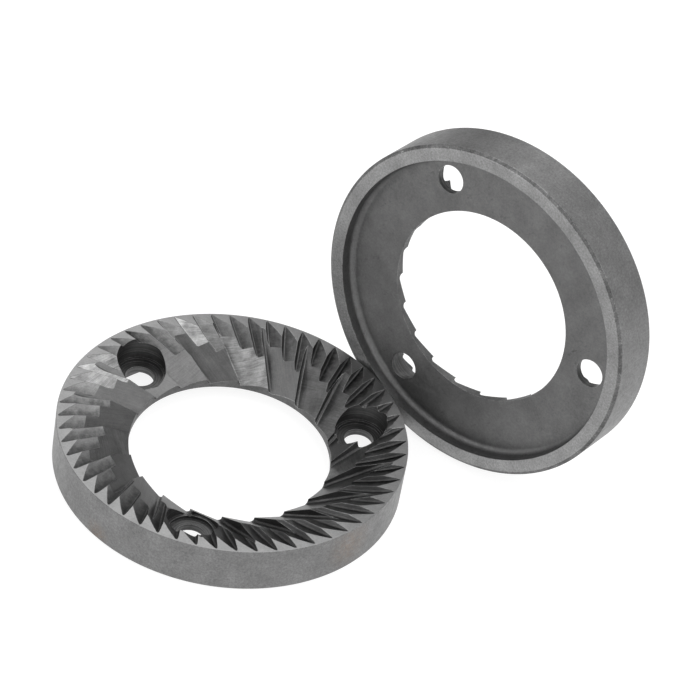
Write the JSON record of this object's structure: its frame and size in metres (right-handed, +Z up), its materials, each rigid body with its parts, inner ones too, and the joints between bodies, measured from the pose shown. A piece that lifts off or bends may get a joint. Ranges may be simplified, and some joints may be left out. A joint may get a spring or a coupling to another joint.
{
  "type": "coffee grinder burr set",
  "caption": "Matched flat grinding burrs: toothed steel rings with a wide bore, dished backs and counterbored screw holes, one lying teeth up beside one standing on its rim.",
  "frame": {"origin": "on the ground, under the middle of the bounding box of both burrs", "axes": "+Z up along the lower burr's axis, teeth up; +X along the longest extent, from the lower burr towards the upper burr; +Y away from the side that the upper burr turns its back to"},
  "size_m": [0.1026, 0.0722, 0.0645],
  "materials": {
    "lower_burr_steel": "hardened steel, satin ground lands and milled grooves",
    "upper_burr_steel": "hardened steel, turned dish with a fine mottle, ground rim"
  },
  "bodies": {
    "upper_burr": {"upper_burr": "upper_burr_steel"},
    "lower_burr": {"lower_burr": "lower_burr_steel"}
  },
  "joints": [
    {"name": "lower_burr_spin", "type": "hinge", "parent": "upper_burr", "child": "lower_burr", "pos_m": [-0.01931, -0.00415, 0], "axis": [0, 0, 1], "continuous": true}
  ]
}
